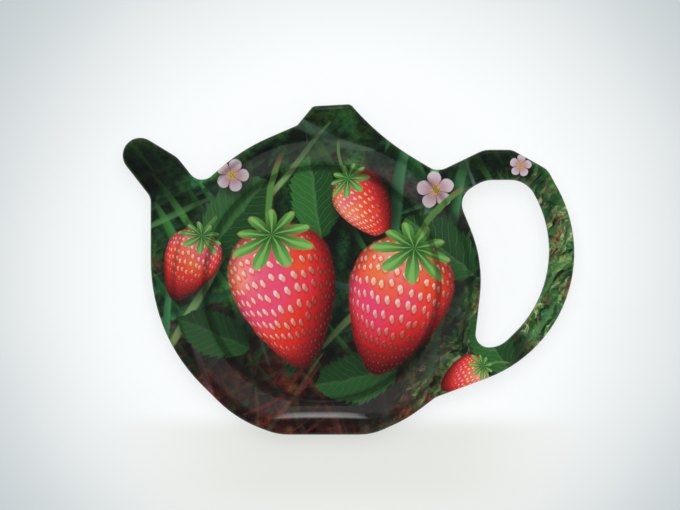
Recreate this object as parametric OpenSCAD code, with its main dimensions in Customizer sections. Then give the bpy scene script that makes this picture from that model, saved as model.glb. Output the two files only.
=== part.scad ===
// Tea bag rest shaped like a teapot, lying face up with its foot on z = 0.
// A moulded tray, a printed foil pressed over its face and a clear glaze over the foil.
// The three pieces share the same face surface, each a little deeper than the one above it.

/* [Outline] */
// Width from the spout's tip to the outside of the handle
rest_w = 120; // [80:0.5:200]
// Length from the flat belly to the top of the lid
rest_l = 87.7; // [60:0.1:150]
// Thickness of the rim, the spout and the handle
rim_t = 2.6; // [1.8:0.1:5]
// Rounding of the face's outer edge
edge_r = 1.2; // [0.6:0.05:2]
// Rounding of the underside's outer edge
under_r = 0.6; // [0.2:0.05:1.5]

/* [Well] */
// Diameter of the well where its lip leaves the flat rim
well_d = 78.2; // [50:0.1:120]
// Diameter of the well's flat floor
floor_d = 63.2; // [40:0.1:100]
// Distance from the well's centre to its straight side over the flat belly
well_flat = 36.3; // [25:0.1:60]
// Depth of the well below the rim
well_depth = 5.2; // [4:0.1:15]
// Rounding between the rim and the well's wall
lip_r = 2; // [0.5:0.05:4]
// Rounding between the well's wall and its floor
floor_r = 1.6; // [0.5:0.05:4]

/* [Shell] */
// Thickness of the well's sloping wall
wall_t = 1.9; // [1.2:0.1:4]
// Thickness of the well's floor
floor_t = 2.4; // [1.5:0.1:5]
// Rounding under the rim, where the wall leaves it
neck_r = 0.6; // [0.3:0.05:2]
// Rounding at the bottom of the wall
heel_r = 2; // [0.5:0.1:4]

/* [Foot] */
// Outer diameter of the foot ring
foot_d = 57; // [30:0.5:90]
// Width of the foot ring
foot_w = 2.6; // [1.2:0.1:6]
// Height that the foot ring holds the floor up by
foot_h = 1.2; // [0.6:0.1:3]

/* [Print] */
// Thickness of the clear glaze
glaze_t = 0.2; // [0.1:0.01:0.4]
// Thickness of the printed foil
foil_t = 0.15; // [0.08:0.01:0.3]
// How far down the outer edge the foil and the glaze reach
wrap_h = 1.6; // [0.8:0.05:3]

/* [Hidden] */

// Corners of the outline, anticlockwise from the right end of the flat belly.
// Each is [across, along, rounding], shares of the width, the length and the width.
outline_shares = [
    [0.051, -0.500, 0.132],    // flat belly, right end
    [0.131, -0.451, 0.302],    // belly, lower right
    [0.192, -0.387, 0.022],    // kink under the handle
    [0.627, -0.166, 0.296],    // outside of the handle
    [0.4395, 0.302, 0.040],     // handle, right shoulder
    [0.361, 0.362, 0.035],     // handle, top right
    [0.299, 0.362, 0.055],     // handle, top left
    [0.196, 0.294, 0.040],     // saddle between handle and roof
    [0.070, 0.398, 0.560],     // hollow flank of the roof
    [0.004, 0.500, 0.013],     // lid, right corner
    [-0.079, 0.494, 0.013],    // lid, left corner
    [-0.114, 0.436, 0.013],    // notch under the lid
    [-0.237, 0.3635, 0.422],    // roof, left shoulder
    [-0.329, 0.252, 0.032],    // saddle between roof and spout
    [-0.379, 0.339, 0.055],    // neck of the spout
    [-0.468, 0.413, 0.0387],   // spout tip, above
    [-0.512, 0.348, 0.0387],   // spout tip, below
    [-0.438, 0.218, 0.031],    // chin of the spout
    [-0.438, -0.059, 0.408],   // belly, left
    [-0.390, -0.261, 0.375],   // belly, lower left
    [-0.249, -0.453, 0.272],   // belly, near the bottom
    [-0.157, -0.500, 0.132]    // flat belly, left end
];
// Corners of the finger hole, anticlockwise from its right side, in the same shares
hole_shares = [
    [0.506, -0.005, 0.255],    // right side
    [0.392, 0.271, 0.060],     // top right
    [0.299, 0.270, 0.066],     // top left
    [0.240, 0.220, 0.042],     // upper left
    [0.299, 0.024, 0.298],     // left side, bowed in by the belly
    [0.277, -0.236, 0.034],    // lower left
    [0.334, -0.236, 0.070]     // bottom
];
// Rows of the tables where the rim's net is tied from the outline to the finger hole
kink_row = 2;
saddle_row = 7;
hole_top_row = 3;
hole_low_row = 5;

// Centre of the well
well_shares = [-0.0596, -0.0453];
function scaled(shares) = [rest_w * shares.x, rest_l * shares.y];
well_c = scaled(well_shares);

// Largest gap between a true arc and its chords, a share of the width
chord_share = 0.0004;
chord_gap = rest_w * chord_share;
// Directions round the well, and chords across each small rounding
ray_step = 6;
ray_start = -75;
edge_chords = 3;
under_chords = 2;
lip_chords = 2;
bend_chords = 3;
// Narrowest flat land between the well and an outer edge, a share of the rim's thickness
land_share = 0.06;
land = rim_t * land_share;
// Softening of the two corners where the straight side meets the round one
soften_share = 0.02;
soften = well_d * soften_share;
// Least run of the straight part of the wall, and the lip's largest rounding, shares of the depth
run_share = 0.25;
lip_share = 0.6;

rest_h = foot_h + floor_t + well_depth;
floor_z = foot_h + floor_t;
rim_z = rest_h - rim_t;
skin_t = glaze_t + foil_t;
// Plane helpers
function unit(a) = [cos(a), sin(a)];
function heading(v) = atan2(v.y, v.x);
function wrapped(a) = a > 180 ? a - 360 : a < -180 ? a + 360 : a;
function side(p, q, r) = cross(q - p, r - p);
function total(v, i = 0) = i < len(v) ? v[i] + total(v, i + 1) : 0;

// A table of shares as points with roundings in millimetres
function corners_of(shares) = [for (s = shares) [rest_w * s.x, rest_l * s.y, rest_w * s.z]];
function spot(c, i) = let (s = c[(i + len(c)) % len(c)]) [s.x, s.y];
function run(c, i) = spot(c, i + 1) - spot(c, i);
function bend(c, i) = wrapped(heading(run(c, i)) - heading(run(c, i - 1)));
// Length of edge that a corner's rounding uses up on either side
function lead(c, i) = c[(i + len(c)) % len(c)].z * tan(abs(bend(c, i)) / 2);
function fit(c, i) = min(1, norm(run(c, i)) / (lead(c, i) + lead(c, i + 1)));

// Every corner as an arc: centre, signed radius, first normal, bend and chords
function arcs_of(c) = [
    for (i = [0 : len(c) - 1])
    let (
        turn = bend(c, i),
        r = c[i].z * min(fit(c, i - 1), fit(c, i)),
        way = sign(turn) * r,
        first = heading(run(c, i - 1)) - 90,
        start = spot(c, i) - unit(first + 90) * r * tan(abs(turn) / 2),
        chords = max(1, ceil(abs(turn) / (2 * acos(1 - min(0.5, chord_gap / r)))))
    )
    [start - way * unit(first), way, first, turn, chords]
];
// The loop of those arcs, drawn in by a distance; a negative one draws it out
function loop_of(arcs, in) = [
    for (a = arcs, j = [0 : a[4]]) a[0] + (a[1] - in) * unit(a[2] + a[3] * j / a[4])
];
function points_in(arcs) = total([for (a = arcs) a[4] + 1]);
function row_middle(arcs, row) =
    total([for (i = [0 : row]) i < row ? arcs[i][4] + 1 : floor(arcs[i][4] / 2)]);

pot_arcs = arcs_of(corners_of(outline_shares));
hole_arcs = arcs_of(corners_of(hole_shares));
pot_n = points_in(pot_arcs);
hole_n = points_in(hole_arcs);

// Roundings of the rim, small enough to share its thickness and to go round the outline's
// tightest corner
tightest = min([for (a = pot_arcs) if (a[1] > 0) a[1]]);
under = min(under_r, rim_t / 3, tightest / 2);
edge = min(edge_r, rim_t - under - 2 * land, tightest - land / 2);
wrap_z = max(min(rest_h - wrap_h, rest_h - edge - land / 2), rim_z + under + land / 2);

// Distance from the well's centre to a closed loop in a direction, the width if it misses
function reach(loop, a) = min(concat([rest_w], [
    for (i = [0 : len(loop) - 1])
    let (
        p = loop[i] - well_c,
        d = loop[(i + 1) % len(loop)] - loop[i],
        slant = cross(unit(a), d)
    )
    if (abs(slant) > land / 1000)
    let (far = cross(p, d) / slant, along = cross(p, unit(a)) / slant)
    if (far > 0 && along >= 0 && along <= 1) far
]));
function soft_min(a, b) =
    let (h = max(soften - abs(a - b), 0) / soften) min(a, b) - h * h * soften / 4;

// Each direction round the well: [angle, lip's start, wall's foot, slope, lip rounding, widest
// neck]. The lip starts on the flat rim, a land inside the outline, and the wall is the line
// from the foot that touches its rounding.
face_pot = loop_of(pot_arcs, edge);
face_hole = loop_of(hole_arcs, -edge);
under_pot = loop_of(pot_arcs, under);
under_hole = loop_of(hole_arcs, -under);
rays = [
    for (a = [ray_start : ray_step : ray_start + 360 - ray_step])
    let (
        down = -sin(a),
        round = well_d / 2,
        shape = down > 0 ? soft_min(round, well_flat / down) : round,
        near = [for (j = [-3 : 3]) a + j * ray_step / 5],
        room = min([for (b = near) min(reach(face_pot, b), reach(face_hole, b))]),
        neck = min([for (b = near) min(reach(under_pot, b), reach(under_hole, b))]),
        lip = min(lip_r, well_depth * lip_share),
        top = min(shape, room - land),
        foot = min(floor_d / 2, top - lip - well_depth * run_share),
        run = top - foot,
        rise = well_depth - lip,
        slope = atan2(rise, run) + asin(lip / norm([run, rise]))
    )
    [a, top, foot, slope, lip, neck - land]
];
ray_n = len(rays);

// Points on the well in one direction: over the lip, down to the floor, and on the back
function placed(ray, r, z) = concat(well_c + r * unit(ray[0]), [z]);
function lip_at(ray, t, in) =
    let (a = ray[3] * t, r = ray[4] - in)
    placed(ray, ray[1] - r * sin(a), rest_h - ray[4] + r * cos(a));
function floor_at(ray, t, in) =
    let (a = ray[3] * (1 - t), c = ray[2] - floor_r * tan(ray[3] / 2), r = floor_r + in)
    placed(ray, c + r * sin(a), floor_z + floor_r - r * cos(a));
function back_of(ray, z) =
    ray[2] + wall_t * sin(ray[3]) + (z - floor_z + wall_t * cos(ray[3])) / tan(ray[3]);
function neck_at(ray, t) =
    let (a = ray[3] * t, c = min(back_of(ray, rim_z) + neck_r * tan(ray[3] / 2), ray[5]))
    placed(ray, c - neck_r * sin(a), rim_z - neck_r + neck_r * cos(a));
function heel_at(ray, t) =
    let (a = ray[3] * (1 - t), c = back_of(ray, foot_h) - heel_r * tan(ray[3] / 2))
    placed(ray, c + heel_r * sin(a), foot_h + heel_r - heel_r * cos(a));

// Rows of points, each row one closed ring
well_rows = lip_chords + bend_chords + 2;
edge_rows = edge_chords + 2;
side_rows = under_chords + 2;
function well_points(in) = concat(
    [for (j = [0 : lip_chords], ray = rays) lip_at(ray, j / lip_chords, in)],
    [for (j = [0 : bend_chords], ray = rays) floor_at(ray, j / bend_chords, in)]
);
function back_points() = concat(
    [for (j = [0 : lip_chords], ray = rays) neck_at(ray, j / lip_chords)],
    [for (j = [0 : bend_chords], ray = rays) heel_at(ray, j / bend_chords)]
);
// Steps over the face's outer edge and down the bare side, each [drawn in, height]
function edge_steps(in) = [
    for (j = [0 : edge_chords + 1])
    let (a = 90 * min(j, edge_chords) / edge_chords, r = edge - in)
    [edge - r * sin(a), j > edge_chords ? wrap_z : rest_h - edge + r * cos(a)]
];
function side_steps() = [
    for (j = [-1 : under_chords])
    let (a = 90 * max(j, 0) / under_chords)
    [under * (1 - cos(a)), j < 0 ? wrap_z : rim_z + under * (1 - sin(a))]
];
function pot_points(steps) = [for (s = steps, p = loop_of(pot_arcs, s.x)) [p.x, p.y, s.y]];
function hole_points(steps) = [for (s = steps, p = loop_of(hole_arcs, -s.x)) [p.x, p.y, s.y]];

// Triangles between two rings of equal count, outer ring first
function band(outer, inner, n) = [
    for (i = [0 : n - 1], half = [0, 1])
    let (k = (i + 1) % n)
    half == 0 ? [outer + i, outer + k, inner + k] : [outer + i, inner + k, inner + i]
];
// The same through a run of rows that steps inwards, and one that steps outwards
function bands_in(first, n, rows) = [
    for (r = [0 : rows - 2]) each band(first + r * n, first + (r + 1) * n, n)
];
function bands_out(first, n, rows) = [
    for (r = [0 : rows - 2]) each band(first + (r + 1) * n, first + r * n, n)
];
function fan(first, n, hub) = [for (i = [0 : n - 1]) [first + i, first + (i + 1) % n, hub]];
function flipped(faces) = [for (f = faces) [f[2], f[1], f[0]]];
function moved(faces, by) = [for (f = faces) [for (i = f) i + by]];

// Whether the corner between two others can be cut off a loop: it turns left, and no other
// point of the loop lies in it
function is_free(p, loop, a, b, c) =
    side(p[a], p[b], p[c]) > 0 && len([
        for (i = loop)
        if (i != a && i != b && i != c && side(p[a], p[b], p[i]) >= 0
            && side(p[b], p[c], p[i]) >= 0 && side(p[c], p[a], p[i]) >= 0) i
    ]) == 0;
function free_corner(p, loop, i = 0) =
    let (n = len(loop))
    i >= n ? 0 : is_free(p, loop, loop[(i + n - 1) % n], loop[i], loop[(i + 1) % n]) ? i
    : free_corner(p, loop, i + 1);
// The loop turned to begin at such a corner, and the loop without its first point
function turned(p, loop) =
    let (n = len(loop), i = free_corner(p, loop)) [for (j = [0 : n - 1]) loop[(i + j) % n]];
function without_first(loop) =
    let (n = len(loop)) [for (j = [2 : n]) loop[j < n ? j : 1]];
// Triangles that fill a loop of any outline
function filled(p, loop) = [
    for (v = turned(p, loop); len(v) > 2; v = turned(p, without_first(v)))
    [v[len(v) - 1], v[0], v[1]]
];
function backwards(list) = [for (i = [len(list) - 1 : -1 : 0]) list[i]];

// The flat rim round the well, between the outline and the finger hole.
// One part runs round the pot and down the hole's near side, the other round the handle.
function rim_net(well, pot, hole, first_well, first_pot, first_hole) =
    let (
        kink = row_middle(pot_arcs, kink_row),
        saddle = row_middle(pot_arcs, saddle_row),
        top = row_middle(hole_arcs, hole_top_row),
        low = row_middle(hole_arcs, hole_low_row),
        p = concat(well, pot, hole),
        o = ray_n,
        h = ray_n + pot_n,
        round_well = [for (i = [0 : ray_n]) i % ray_n],
        round_pot = concat(
            [for (i = [0 : kink]) o + i],
            [for (i = [low : -1 : top]) h + i],
            [for (i = [saddle : pot_n]) o + i % pot_n]
        ),
        round_handle = [for (i = [kink : saddle]) o + i],
        round_hole = [for (i = [low : hole_n + top]) h + i % hole_n],
        net = concat(
            filled(p, concat(round_pot, backwards(round_well))),
            filled(p, concat(round_handle, backwards(round_hole)))
        )
    )
    [
        for (t = net)
        [for (i = t) i < o ? first_well + i : i < h ? first_pot + i - o : first_hole + i - h]
    ];

// The whole face, sunk by a depth: well, outer edge, finger hole and the floor's centre
face_pot_0 = well_rows * ray_n;
face_hole_0 = face_pot_0 + edge_rows * pot_n;
face_hub = face_hole_0 + edge_rows * hole_n;
face_n = face_hub + 1;
last_pot = face_hole_0 - pot_n;
last_hole = face_hub - hole_n;
function face_points(in) = concat(
    well_points(in),
    pot_points(edge_steps(in)),
    hole_points(edge_steps(in)),
    [concat(well_c, [floor_z - in])]
);
function flat_ring(at) = [for (ray = rays) let (p = at(ray)) [p.x, p.y]];
face_net = rim_net(
    flat_ring(function (ray) lip_at(ray, 0, 0)),
    face_pot, face_hole, 0, face_pot_0, face_hole_0
);
face_faces = concat(
    bands_in(0, ray_n, well_rows),
    fan(face_pot_0 - ray_n, ray_n, face_hub),
    bands_out(face_pot_0, pot_n, edge_rows),
    bands_in(face_hole_0, hole_n, edge_rows),
    face_net
);

// A layer of the face between two depths, closed along the outer edge and in the hole
module face_layer(above, below) {
    polyhedron(
        points = concat(face_points(above), face_points(below)),
        faces = concat(
            flipped(face_faces),
            moved(face_faces, face_n),
            band(last_pot, face_n + last_pot, pot_n),
            band(face_n + last_hole, last_hole, hole_n)
        )
    );
}

// The tray without its foot: face, bare side, underside of the rim and back of the well
side_pot_0 = face_n;
side_hole_0 = side_pot_0 + side_rows * pot_n;
back_0 = side_hole_0 + side_rows * hole_n;
back_hub = back_0 + well_rows * ray_n;
back_net = rim_net(
    flat_ring(function (ray) neck_at(ray, 0)),
    under_pot, under_hole, back_0, side_hole_0 - pot_n, back_0 - hole_n
);
module tray_shell() {
    polyhedron(
        points = concat(
            face_points(skin_t),
            pot_points(side_steps()),
            hole_points(side_steps()),
            back_points(),
            [concat(well_c, [foot_h])]
        ),
        faces = concat(
            flipped(concat(
                face_faces,
                band(side_pot_0, last_pot, pot_n),
                bands_out(side_pot_0, pot_n, side_rows),
                band(last_hole, side_hole_0, hole_n),
                bands_in(side_hole_0, hole_n, side_rows)
            )),
            back_net,
            bands_in(back_0, ray_n, well_rows),
            fan(back_hub - ray_n, ray_n, back_hub)
        )
    );
}

// Foot ring, sunk a little into the floor above it
foot_sink_share = 0.3;
foot_round_share = 0.25;
heel_least = min([for (p = flat_ring(function (ray) heel_at(ray, 1))) norm(p - well_c)]);
foot_out = min(foot_d / 2, heel_least - land);
foot_in = max(foot_out - foot_w, foot_w);
module foot_ring() {
    round = foot_h * foot_round_share;
    top = foot_h + floor_t * foot_sink_share;
    translate([well_c.x, well_c.y, 0])
        rotate_extrude($fn = 60)
            polygon([
                [foot_in + round, 0],
                [foot_out - round, 0],
                [foot_out, round],
                [foot_out, top],
                [foot_in, top],
                [foot_in, round]
            ]);
}

// White moulded tray
module tray_body() {
    color("white") {
        tray_shell();
        foot_ring();
    }
}

// Printed foil between the tray and the glaze
module decor_foil() {
    color("darkgreen")
        face_layer(glaze_t, skin_t);
}

// Clear glaze on top
module clear_glaze() {
    color([0.9, 0.95, 0.9, 0.35])
        face_layer(0, glaze_t);
}

tray_body();
decor_foil();
clear_glaze();
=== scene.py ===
"""Looks of a tea bag rest shaped like a teapot, lying face up.

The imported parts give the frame. This script builds the moulded tray and the glazed face again
with finer curves, dresses all the layers, and sets up the floor, the lamp and the camera.
Lengths are in metres. The outline's tables are in shares of the rest's width and length, and
the print and the finishes are laid out in millimetres from the middle of the rest.
"""

import logging
import math
from collections.abc import Sequence
from dataclasses import dataclass, field, replace
from enum import Enum
from functools import reduce

import bpy
import numpy as np
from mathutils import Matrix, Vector
from mathutils.geometry import delaunay_2d_cdt


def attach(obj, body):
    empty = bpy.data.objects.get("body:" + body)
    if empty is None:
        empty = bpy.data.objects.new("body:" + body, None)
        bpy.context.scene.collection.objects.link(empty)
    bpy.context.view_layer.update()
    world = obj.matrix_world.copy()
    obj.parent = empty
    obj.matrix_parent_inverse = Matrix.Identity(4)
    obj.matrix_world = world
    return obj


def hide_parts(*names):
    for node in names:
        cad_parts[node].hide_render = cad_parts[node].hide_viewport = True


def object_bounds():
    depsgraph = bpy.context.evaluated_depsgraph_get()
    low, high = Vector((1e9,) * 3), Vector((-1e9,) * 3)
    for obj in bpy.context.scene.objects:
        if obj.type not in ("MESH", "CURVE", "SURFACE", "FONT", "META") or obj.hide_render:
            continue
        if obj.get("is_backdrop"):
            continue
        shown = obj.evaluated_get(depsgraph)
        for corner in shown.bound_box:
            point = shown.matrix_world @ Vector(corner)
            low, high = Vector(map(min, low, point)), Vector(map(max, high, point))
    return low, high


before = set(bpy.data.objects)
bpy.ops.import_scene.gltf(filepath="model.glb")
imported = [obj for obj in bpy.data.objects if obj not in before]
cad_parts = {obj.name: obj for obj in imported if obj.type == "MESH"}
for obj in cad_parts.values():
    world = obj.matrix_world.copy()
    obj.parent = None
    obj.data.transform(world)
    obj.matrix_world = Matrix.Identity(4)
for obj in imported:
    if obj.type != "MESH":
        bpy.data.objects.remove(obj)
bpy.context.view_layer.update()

log = logging.getLogger("tea_bag_rest")

Points = np.ndarray
Row = tuple[Points, Points]
Colour = tuple[float, float, float]
ORIGIN = (0.0, 0.0, 0.0)
IN_PLAN = (1.0, 1.0, 0.0)
EAST, NORTH, UP = (1.0, 0.0, 0.0), (0.0, 1.0, 0.0), (0.0, 0.0, 1.0)
MILLIMETRES = 1000.0

# Shapes


@dataclass(frozen=True)
class RestSizes:
    """Sizes of the rest, in metres."""

    width: float = 0.1200
    length: float = 0.0877
    rim: float = 0.0026
    edge: float = 0.0012
    under: float = 0.0006
    well_across: float = 0.0782
    floor_across: float = 0.0632
    well_flat: float = 0.0363
    well_depth: float = 0.0052
    lip: float = 0.0020
    lip_shade: float = 0.0048
    bend: float = 0.0016
    wall: float = 0.0019
    floor: float = 0.0024
    neck: float = 0.0006
    heel: float = 0.0020
    foot_across: float = 0.0570
    foot_width: float = 0.0026
    foot_height: float = 0.0012
    foot_round: float = 0.0003
    glaze: float = 0.0002
    foil: float = 0.00015
    wrap: float = 0.0016
    well_centre: tuple[float, float] = (-0.0596, -0.0453)

    @property
    def floor_level(self) -> float:
        """Height of the well's floor above the table."""
        return self.foot_height + self.floor

    @property
    def top_level(self) -> float:
        """Height of the flat rim's face above the table."""
        return self.floor_level + self.well_depth

    @property
    def rim_level(self) -> float:
        """Height of the rim's underside above the table."""
        return self.top_level - self.rim

    @property
    def wrap_level(self) -> float:
        """Height at which the foil and the glaze end on the rim's side."""
        return self.top_level - self.wrap

    @property
    def centre(self) -> Points:
        """The well's centre in plan."""
        return np.array([self.width * self.well_centre[0], self.length * self.well_centre[1]])


@dataclass(frozen=True)
class Corner:
    """A corner of an outline: its place and its rounding, as shares of the rest's size."""

    across: float
    along: float
    rounding: float


POT_CORNERS = (
    Corner(0.051, -0.500, 0.132),
    Corner(0.131, -0.451, 0.302),
    Corner(0.192, -0.387, 0.022),
    Corner(0.627, -0.166, 0.296),
    Corner(0.4395, 0.302, 0.040),
    Corner(0.361, 0.362, 0.035),
    Corner(0.299, 0.362, 0.055),
    Corner(0.196, 0.294, 0.040),
    Corner(0.070, 0.398, 0.560),
    Corner(0.004, 0.500, 0.013),
    Corner(-0.079, 0.494, 0.013),
    Corner(-0.114, 0.436, 0.013),
    Corner(-0.237, 0.3635, 0.422),
    Corner(-0.329, 0.252, 0.032),
    Corner(-0.379, 0.339, 0.055),
    Corner(-0.468, 0.413, 0.0387),
    Corner(-0.512, 0.348, 0.0387),
    Corner(-0.438, 0.218, 0.031),
    Corner(-0.438, -0.059, 0.408),
    Corner(-0.390, -0.261, 0.375),
    Corner(-0.249, -0.453, 0.272),
    Corner(-0.157, -0.500, 0.132),
)
HOLE_CORNERS = (
    Corner(0.506, -0.005, 0.255),
    Corner(0.392, 0.271, 0.060),
    Corner(0.299, 0.270, 0.066),
    Corner(0.240, 0.220, 0.042),
    Corner(0.299, 0.024, 0.298),
    Corner(0.277, -0.236, 0.034),
    Corner(0.334, -0.236, 0.070),
)


class RoundedLoop:
    """A closed outline whose corners are true arcs, joined by straight runs."""

    def __init__(self, corners: Sequence[Corner], sizes: RestSizes, gap: float) -> None:
        """Finds every corner's arc. Where two arcs touch, their shared point is kept once.

        Args:
            corners: The corners, anticlockwise.
            sizes: The sizes that the shares are of.
            gap: The largest gap between an arc and its chords.
        """
        spots = np.array([[sizes.width * c.across, sizes.length * c.along] for c in corners])
        radii = np.array([sizes.width * c.rounding for c in corners])
        runs = np.roll(spots, -1, axis=0) - spots
        headings = np.arctan2(runs[:, 1], runs[:, 0])
        before = np.roll(headings, 1)
        turns = (headings - before + math.pi) % (2 * math.pi) - math.pi
        leads = radii * np.tan(np.abs(turns) / 2)
        lengths = np.linalg.norm(runs, axis=1)
        fits = np.minimum(1.0, lengths / (leads + np.roll(leads, -1)))
        radii = radii * np.minimum(fits, np.roll(fits, 1))
        centres, ways, angles = [], [], []
        for spot, radius, turn, heading in zip(spots, radii, turns, before):
            way = math.copysign(radius, turn)
            back = np.array([math.cos(heading), math.sin(heading)])
            normal = np.array([math.sin(heading), -math.cos(heading)])
            centre = spot - back * radius * math.tan(abs(turn) / 2) - way * normal
            chord = 2 * math.acos(1 - min(0.5, gap / radius))
            chords = max(2, math.ceil(abs(turn) / chord))
            for step in range(chords + 1):
                centres.append(centre)
                ways.append(way)
                angles.append(heading - math.pi / 2 + turn * step / chords)
        normals = np.stack([np.cos(angles), np.sin(angles)], axis=1)
        loop = np.array(centres) + np.array(ways)[:, None] * normals
        apart = np.linalg.norm(loop - np.roll(loop, 1, axis=0), axis=1) > gap / 10
        self.centres = np.array(centres)[apart]
        self.ways = np.array(ways)[apart]
        self.normals = normals[apart]

    def drawn_in(self, inset: float) -> Points:
        """The loop in plan, drawn in by a distance, or out by a negative one."""
        return self.centres + (self.ways - inset)[:, None] * self.normals


def shares(chords: int) -> list[float]:
    """The shares from 0 to 1 at the ends of some chords."""
    return [j / chords for j in range(chords + 1)]


def level(plan: Points, height: float) -> Points:
    """Plan points put at one height, or plan directions given one rise."""
    return np.column_stack([plan, np.full(len(plan), height)])


class Facing(Enum):
    """Which way a strip of faces looks."""

    FRONT = 1
    BACK = -1


@dataclass(frozen=True)
class Ring:
    """A closed row of vertices, anticlockwise, with a normal and a map spot at each."""

    at: Points
    points: Points
    normals: Points
    spots: Points

    def flat(self) -> "Ring":
        """The same row with its normals straight up, for a flat face that meets it."""
        return replace(self, normals=np.tile(UP, (len(self.at), 1)))


class ShellMesh:
    """Collects rings and the faces between them, and turns them into one smooth mesh."""

    least_gap = 1e-7
    least_area = 1e-9
    inside_outline = 1

    def __init__(self) -> None:
        """Starts with no vertices."""
        self.points: list[Points] = []
        self.count = 0
        self.faces: list[tuple[int, ...]] = []
        self.normals: list[Points] = []
        self.spots: list[Points] = []

    def ring(self, points: Points, normals: Points, spots: Points) -> Ring:
        """Adds a closed row of vertices.

        Args:
            points: The row's points in space.
            normals: The surface's normal at each.
            spots: Each point's spot on the texture map.

        Returns:
            The row, to join to others.
        """
        at = np.arange(self.count, self.count + len(points))
        self.points.append(points)
        self.count += len(points)
        return Ring(at, points, normals, spots)

    def _face(self, corners: list[tuple[Ring, int]], facing: Facing) -> None:
        """Adds one face through corners, each a row and a place in it.

        Args:
            corners: The corners, anticlockwise from above.
            facing: BACK turns the face over.
        """
        if facing is Facing.BACK:
            corners = corners[::-1]
        self.faces.append(tuple(int(row.at[i]) for row, i in corners))
        for row, i in corners:
            self.normals.append(row.normals[i] * facing.value)
            self.spots.append(row.spots[i])

    def bridge(self, first: Ring, second: Ring, facing: Facing = Facing.FRONT) -> None:
        """Joins two rows of equal count by four-sided faces.

        Args:
            first: The outer row, or the lower one of an outer side.
            second: The inner row, or the upper one of an outer side.
            facing: BACK turns the faces over.
        """
        count = len(first.at)
        for i in range(count):
            k = (i + 1) % count
            self._face([(first, i), (first, k), (second, k), (second, i)], facing)

    def stairs(self, rows: Sequence[Ring], facing: Facing = Facing.FRONT) -> None:
        """Joins each row of a list to the next."""
        for first, second in zip(rows, rows[1:]):
            self.bridge(first, second, facing)

    def fill(self, rows: Sequence[Ring], facing: Facing = Facing.FRONT) -> None:
        """Fills the flat face between an outer row and the rows of its openings.

        Args:
            rows: The outer row first, then the openings.
            facing: BACK makes the face look down.
        """
        plan = [row.points[:, :2] * MILLIMETRES for row in rows]
        owner = [(row.flat(), i) for row in rows for i in range(len(row.at))]
        corners = np.concatenate(plan)
        edges, first = [], 0
        for loop in plan:
            edges += [(first + i, first + (i + 1) % len(loop)) for i in range(len(loop))]
            first += len(loop)
        spots = [Vector(p) for p in corners]
        made = delaunay_2d_cdt(spots, edges, [], self.inside_outline, self.least_gap)
        origin = [sources[0] for sources in made[3]]
        for face in made[2]:
            trio = [origin[i] for i in face]
            a, b, c = corners[trio]
            area = (b[0] - a[0]) * (c[1] - a[1]) - (b[1] - a[1]) * (c[0] - a[0])
            middle = corners[trio].mean(axis=0)
            if abs(area) >= self.least_area and self._inside(middle, plan):
                self._face([owner[i] for i in (trio if area > 0 else trio[::-1])], facing)

    @staticmethod
    def _inside(spot: Points, loops: Sequence[Points]) -> bool:
        """Whether a plan spot is inside the first loop and outside the others.

        Args:
            spot: The plan spot.
            loops: The outer loop first, then the openings.

        Returns:
            True where the face covers the spot.
        """
        crossings = 0
        for loop in loops:
            after = np.roll(loop, -1, axis=0)
            over = (loop[:, 1] > spot[1]) != (after[:, 1] > spot[1])
            rise = np.where(over, after[:, 1] - loop[:, 1], 1.0)
            reach = loop[:, 0] + (spot[1] - loop[:, 1]) * (after[:, 0] - loop[:, 0]) / rise
            crossings += int(np.count_nonzero(over & (reach > spot[0])))
        return crossings % 2 == 1

    def build(self, name: str, map_name: str | None = None) -> bpy.types.Object:
        """Makes the object.

        Args:
            name: The piece's name.
            map_name: The name of its texture map, or None to leave the map out.

        Returns:
            The object, in the scene.
        """
        mesh = bpy.data.meshes.new(name)
        mesh.from_pydata(np.concatenate(self.points).tolist(), [], self.faces)
        mesh.polygons.foreach_set("use_smooth", [True] * len(mesh.polygons))
        if map_name:
            layer = mesh.uv_layers.new(name=map_name)
            layer.data.foreach_set("uv", np.concatenate(self.spots).astype(np.float32))
        mesh.normals_split_custom_set([tuple(n) for n in self.normals])
        mesh.update()
        return add_object(name, mesh)


def add_object(name: str, data: bpy.types.ID) -> bpy.types.Object:
    """Makes an object of a mesh, camera or light, in the scene.

    Args:
        name: Its name.
        data: Its mesh, camera or light.

    Returns:
        The object.
    """
    made = bpy.data.objects.new(name, data)
    bpy.context.scene.collection.objects.link(made)
    return made


@dataclass(frozen=True)
class MapPlan:
    """Where plan distances go on the texture map."""

    scale: float
    shift: tuple[float, float]

    def spots(self, plan: Points) -> Points:
        """The map spots of plan points."""
        return plan[:, :2] * self.scale + np.array(self.shift)


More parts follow.
